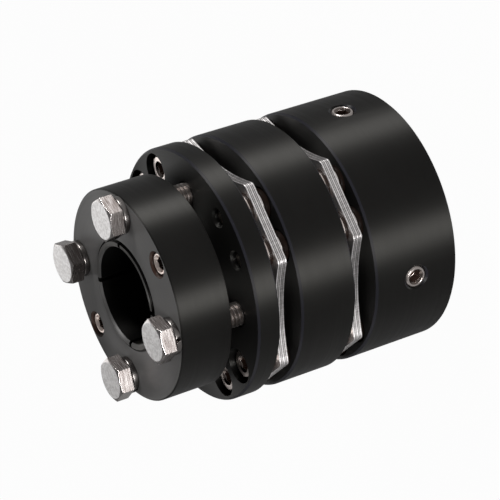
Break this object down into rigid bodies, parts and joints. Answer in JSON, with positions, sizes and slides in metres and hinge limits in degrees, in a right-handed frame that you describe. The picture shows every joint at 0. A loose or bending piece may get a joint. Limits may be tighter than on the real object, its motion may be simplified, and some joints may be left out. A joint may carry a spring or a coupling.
{
  "type": "disc coupling",
  "caption": "Double disc coupling joining two shafts: a set-screw hub, a middle body and a hub with a tapered clamping sleeve, linked by packs of thin spring steel discs.",
  "frame": {"origin": "The centre of the set-screw hub's end face, on the axis of both shafts; the coupling stands on that face.", "axes": "+Z runs along the shafts' axis from the set-screw hub to the clamping hub. +X passes through a clamp bolt and a radial set screw, +Y through the next bolt and the other set screw."},
  "size_m": [0.065, 0.065, 0.0813],
  "materials": {
    "black_body": "turned aluminium, anodised satin black",
    "spring_steel": "bright rolled stainless sheet with sheared edges",
    "clamp_fastener": "plain stainless, forged and trimmed",
    "set_screw": "plain stainless, turned",
    "pack_screw": "plain stainless, turned",
    "collar": "plain stainless, turned"
  },
  "bodies": {
    "root": {"clamp_bolt_1": "clamp_fastener", "clamp_bolt_2": "clamp_fastener", "clamp_bolt_3": "clamp_fastener", "clamp_bolt_4": "clamp_fastener", "clamp_ring": "black_body", "hub_set_screw_1": "set_screw", "hub_set_screw_2": "set_screw", "jack_screw_1": "set_screw", "jack_screw_2": "set_screw", "lower_disc_1": "spring_steel", "lower_disc_2": "spring_steel", "lower_disc_3": "spring_steel", "lower_disc_4": "spring_steel", "lower_disc_5": "spring_steel", "lower_head_collars_hub_side": "collar", "lower_head_collars_middle_side": "collar", "lower_hub_screws": "pack_screw", "lower_middle_screws": "pack_screw", "lower_pack_washers_hub_side": "collar", "lower_pack_washers_middle_side": "collar", "lower_thread_collars_hub_side": "collar", "lower_thread_collars_middle_side": "collar", "middle_body": "black_body", "set_screw_hub": "black_body", "spring_washer_1": "clamp_fastener", "spring_washer_2": "clamp_fastener", "spring_washer_3": "clamp_fastener", "spring_washer_4": "clamp_fastener", "taper_hub": "black_body", "upper_disc_1": "spring_steel", "upper_disc_2": "spring_steel", "upper_disc_3": "spring_steel", "upper_disc_4": "spring_steel", "upper_disc_5": "spring_steel", "upper_head_collars_hub_side": "collar", "upper_head_collars_middle_side": "collar", "upper_hub_screws": "pack_screw", "upper_middle_screws": "pack_screw", "upper_pack_washers_hub_side": "collar", "upper_pack_washers_middle_side": "collar", "upper_thread_collars_hub_side": "collar", "upper_thread_collars_middle_side": "collar"}
  },
  "joints": []
}
